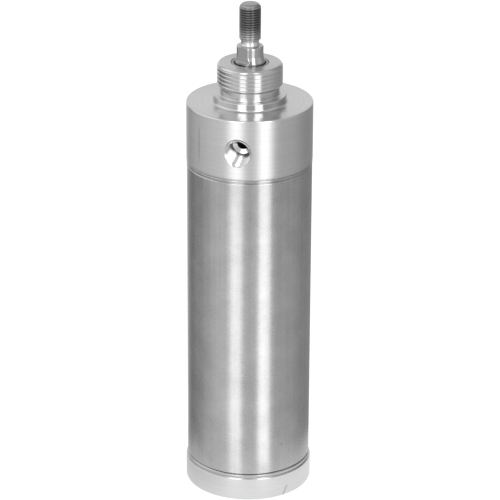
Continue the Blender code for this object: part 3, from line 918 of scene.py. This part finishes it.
def make_world():
    """A grey studio with two tall soft strips in front, a paler left side and darker far sides."""
    world = bpy.data.worlds.new("studio")
    world.use_nodes = True
    bpy.context.scene.world = world
    nodes = world.node_tree.nodes
    links = world.node_tree.links
    place = nodes.new("ShaderNodeTexCoord").outputs["Generated"]
    split = nodes.new("ShaderNodeSeparateXYZ")
    links.new(place, split.inputs[0])
    turn = nodes.new("ShaderNodeMath")
    turn.operation = "ARCTAN2"
    links.new(split.outputs["Y"], turn.inputs[0])
    links.new(split.outputs["X"], turn.inputs[1])
    share = nodes.new("ShaderNodeMath")
    share.operation = "MULTIPLY_ADD"
    links.new(turn.outputs[0], share.inputs[0])
    share.inputs[1].default_value = 1 / math.tau
    share.inputs[2].default_value = 0.5 - (CAMERA_AZIMUTH - math.pi / 2) / math.tau
    wrap = nodes.new("ShaderNodeMath")
    wrap.operation = "FRACT"
    links.new(share.outputs[0], wrap.inputs[0])
    colour = world_ramp(nodes, links, wrap.outputs[0], LOW_STUDIO)
    levels = [(-0.30, -0.02, world_ramp(nodes, links, wrap.outputs[0], HIGH_STUDIO)), (0.70, 0.95, ZENITH)]
    for low, high, above in levels:
        height = nodes.new("ShaderNodeMapRange")
        height.interpolation_type = "SMOOTHSTEP"
        height.inputs["From Min"].default_value = low
        height.inputs["From Max"].default_value = high
        links.new(split.outputs["Z"], height.inputs["Value"])
        blend = nodes.new("ShaderNodeMix")
        blend.data_type = "RGBA"
        links.new(height.outputs[0], blend.inputs["Factor"])
        links.new(colour, blend.inputs["A"])
        if isinstance(above, bpy.types.NodeSocket):
            links.new(above, blend.inputs["B"])
        else:
            blend.inputs["B"].default_value = (above, above, above, 1)
        colour = blend.outputs["Result"]
    links.new(colour, nodes["Background"].inputs["Color"])


def glowing(name, colour, level):
    """A matte material that also gives off light."""
    material = bpy.data.materials.new(name)
    material.use_nodes = True
    shader = material.node_tree.nodes["Principled BSDF"]
    shader.inputs["Base Color"].default_value = (colour, colour, colour, 1)
    shader.inputs["Roughness"].default_value = 0.9
    shader.inputs["Specular IOR Level"].default_value = 0.0
    shader.inputs["Emission Color"].default_value = (1, 1, 1, 1)
    shader.inputs["Emission Strength"].default_value = level
    return material


def fade_left(material, low, high):
    """Lets a sheet's light fall from high to low towards -X."""
    nodes = material.node_tree.nodes
    links = material.node_tree.links
    split = nodes.new("ShaderNodeSeparateXYZ")
    links.new(nodes.new("ShaderNodeTexCoord").outputs["Object"], split.inputs[0])
    fade = nodes.new("ShaderNodeMapRange")
    fade.inputs["From Min"].default_value = -0.045
    fade.inputs["From Max"].default_value = -0.005
    fade.inputs["To Min"].default_value = low
    fade.inputs["To Max"].default_value = high
    links.new(split.outputs["X"], fade.inputs["Value"])
    links.new(fade.outputs[0], nodes["Principled BSDF"].inputs["Emission Strength"])
    return material


def stage_piece(name, bm, material, hidden_from):
    """A piece of the studio, hidden from the named kinds of ray."""
    mesh = bpy.data.meshes.new(name)
    bm.to_mesh(mesh)
    bm.free()
    mesh.materials.append(material)
    piece = bpy.data.objects.new(name, mesh)
    bpy.context.scene.collection.objects.link(piece)
    for kind in hidden_from:
        setattr(piece, "visible_" + kind, False)
    return piece


def make_stage():
    """A pale floor, a white surround that only the camera sees, and a white sheet under the foot."""
    floor = bmesh.new()
    bmesh.ops.create_circle(floor, cap_ends=True, segments=96, radius=5.0)
    stage_piece("floor", floor, glowing("floor_paper", 0.25, 0.90), ["glossy", "shadow"])

    surround = bmesh.new()
    bmesh.ops.create_uvsphere(surround, u_segments=64, v_segments=32, radius=4.9)
    stage_piece("surround", surround, glowing("surround_white", 0, 1.0), ["glossy", "diffuse", "shadow"])

    sheet = bmesh.new()
    bmesh.ops.create_circle(sheet, cap_ends=True, segments=96, radius=0.070)
    bmesh.ops.translate(sheet, verts=sheet.verts, vec=(0, 0, -0.0002))
    sheet_white = fade_left(glowing("sheet_white", 0, 0.86), 0.64, 0.86)
    stage_piece("foot_sheet", sheet, sheet_white, ["camera", "diffuse", "shadow"])


def make_camera():
    data = bpy.data.cameras.new("camera")
    data.lens = CAMERA_LENS
    data.sensor_width = 36
    data.shift_x = CAMERA_SHIFT_X
    data.clip_start = 0.01
    data.clip_end = 50
    camera = bpy.data.objects.new("camera", data)
    bpy.context.scene.collection.objects.link(camera)
    level = Vector((math.sin(CAMERA_AZIMUTH), -math.cos(CAMERA_AZIMUTH), 0))
    away = level * math.cos(CAMERA_ELEVATION) + Vector((0, 0, math.sin(CAMERA_ELEVATION)))
    camera.location = Vector((0, 0, CAMERA_TARGET_HEIGHT)) + away * CAMERA_DISTANCE
    turn = away.to_track_quat("Z", "Y").to_matrix()
    roll = Matrix.Rotation(CAMERA_ROLL, 3, "Z")
    camera.rotation_euler = (turn @ roll).to_euler()
    bpy.context.scene.camera = camera


def dress_inner_pieces():
    """Gives the CAD pieces that stay, all inside the barrel, their materials."""
    rubber = plain("nitrile_rubber", (0.02, 0.02, 0.02), 0.55, 0)
    urethane = plain("urethane", (0.10, 0.16, 0.20), 0.45, 0)
    spring_steel = plain("spring_steel", (0.18, 0.18, 0.19), 0.35, 1)
    zinc = plain("zinc_plate", (0.62, 0.63, 0.64), 0.3, 1)
    aluminium = machined_aluminium("piston_aluminium", 0.75, 0.35)
    resin = plain("wear_ring_resin", (0.55, 0.52, 0.45), 0.5, 0)
    looks = {
        "rod_seal": rubber,
        "rod_seal_washer": spring_steel,
        "rod_seal_retaining_ring": spring_steel,
        "front_head_o_ring": rubber,
        "rear_head_o_ring": rubber,
        "front_bumper": urethane,
        "rear_bumper": urethane,
        "piston_cup_front": rubber,
        "piston_cup_rear": rubber,
        "piston_wear_ring": resin,
        "piston_front_half": aluminium,
        "piston_rear_half": aluminium,
        "piston_o_ring": rubber,
        "piston_washer": zinc,
        "piston_lock_nut": zinc,
    }
    for node, material in looks.items():
        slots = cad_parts[node].data.materials
        slots.clear()
        slots.append(material)


bpy.context.scene.view_settings.view_transform = "Standard"
make_camera()
make_world()
make_stage()
make_tube(stainless())
make_rear_head(machined_aluminium("rear_head_aluminium", 0.78, 0.30, 0.3))
make_front_head(machined_aluminium("front_head_aluminium", 0.72, 0.43))
make_bushing(sintered_bronze())
make_rod(rod_steel())
dress_inner_pieces()
